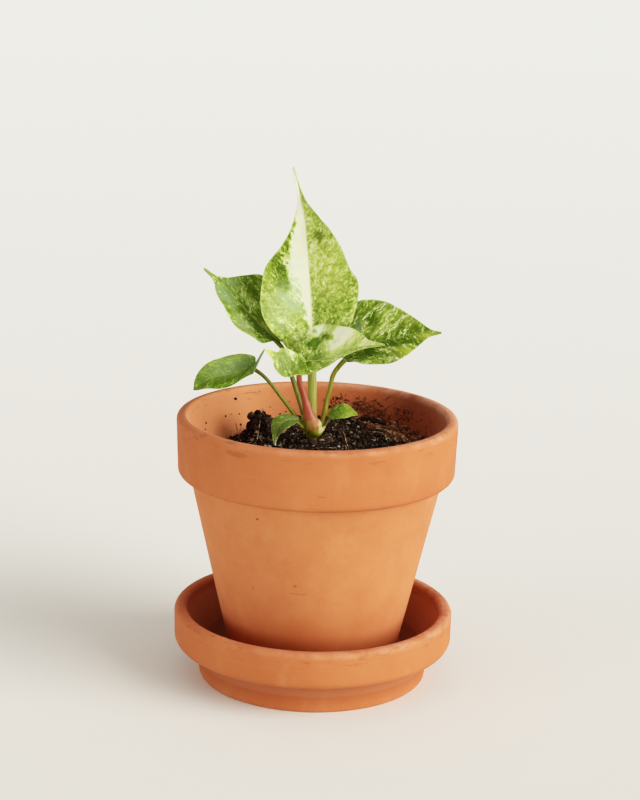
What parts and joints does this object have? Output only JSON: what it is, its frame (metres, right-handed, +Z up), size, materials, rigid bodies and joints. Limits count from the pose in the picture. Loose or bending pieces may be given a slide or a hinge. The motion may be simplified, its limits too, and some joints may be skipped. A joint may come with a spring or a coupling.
{
  "type": "potted plant",
  "caption": "Young variegated anthurium in a terracotta pot with its saucer: pointed, waved leaves on slender stalks over dark potting mix.",
  "frame": {"origin": "centre of the saucer's flat underside, on the surface that it stands on", "axes": "+Z up along the axis of pot and saucer, +X to the right, -Y towards the side that the tall leaf faces"},
  "size_m": [0.1566, 0.1566, 0.2862],
  "materials": {
    "saucer_clay": "matte",
    "pot_clay": "matte",
    "potting_mix": "matte",
    "crown_green": "satin",
    "stalk_tall_skin": "satin",
    "stalk_left_skin": "satin",
    "stalk_right_skin": "satin",
    "stalk_front_skin": "satin",
    "stalk_small_skin": "satin",
    "stalk_low_left_skin": "satin",
    "stalk_low_right_skin": "satin",
    "leaf_tall_skin": "satin",
    "leaf_left_skin": "satin",
    "leaf_right_skin": "satin",
    "leaf_front_skin": "satin",
    "leaf_small_skin": "satin",
    "leaf_low_left_skin": "satin",
    "leaf_low_right_skin": "satin"
  },
  "bodies": {
    "root": {"saucer": "saucer_clay", "pot": "pot_clay", "soil": "potting_mix", "crown": "crown_green", "stalk_tall": "stalk_tall_skin", "stalk_left": "stalk_left_skin", "stalk_right": "stalk_right_skin", "stalk_front": "stalk_front_skin", "stalk_small": "stalk_small_skin", "stalk_low_left": "stalk_low_left_skin", "stalk_low_right": "stalk_low_right_skin", "leaf_tall": "leaf_tall_skin", "leaf_left": "leaf_left_skin", "leaf_right": "leaf_right_skin", "leaf_front": "leaf_front_skin", "leaf_small": "leaf_small_skin", "leaf_low_left": "leaf_low_left_skin", "leaf_low_right": "leaf_low_right_skin"}
  },
  "joints": []
}
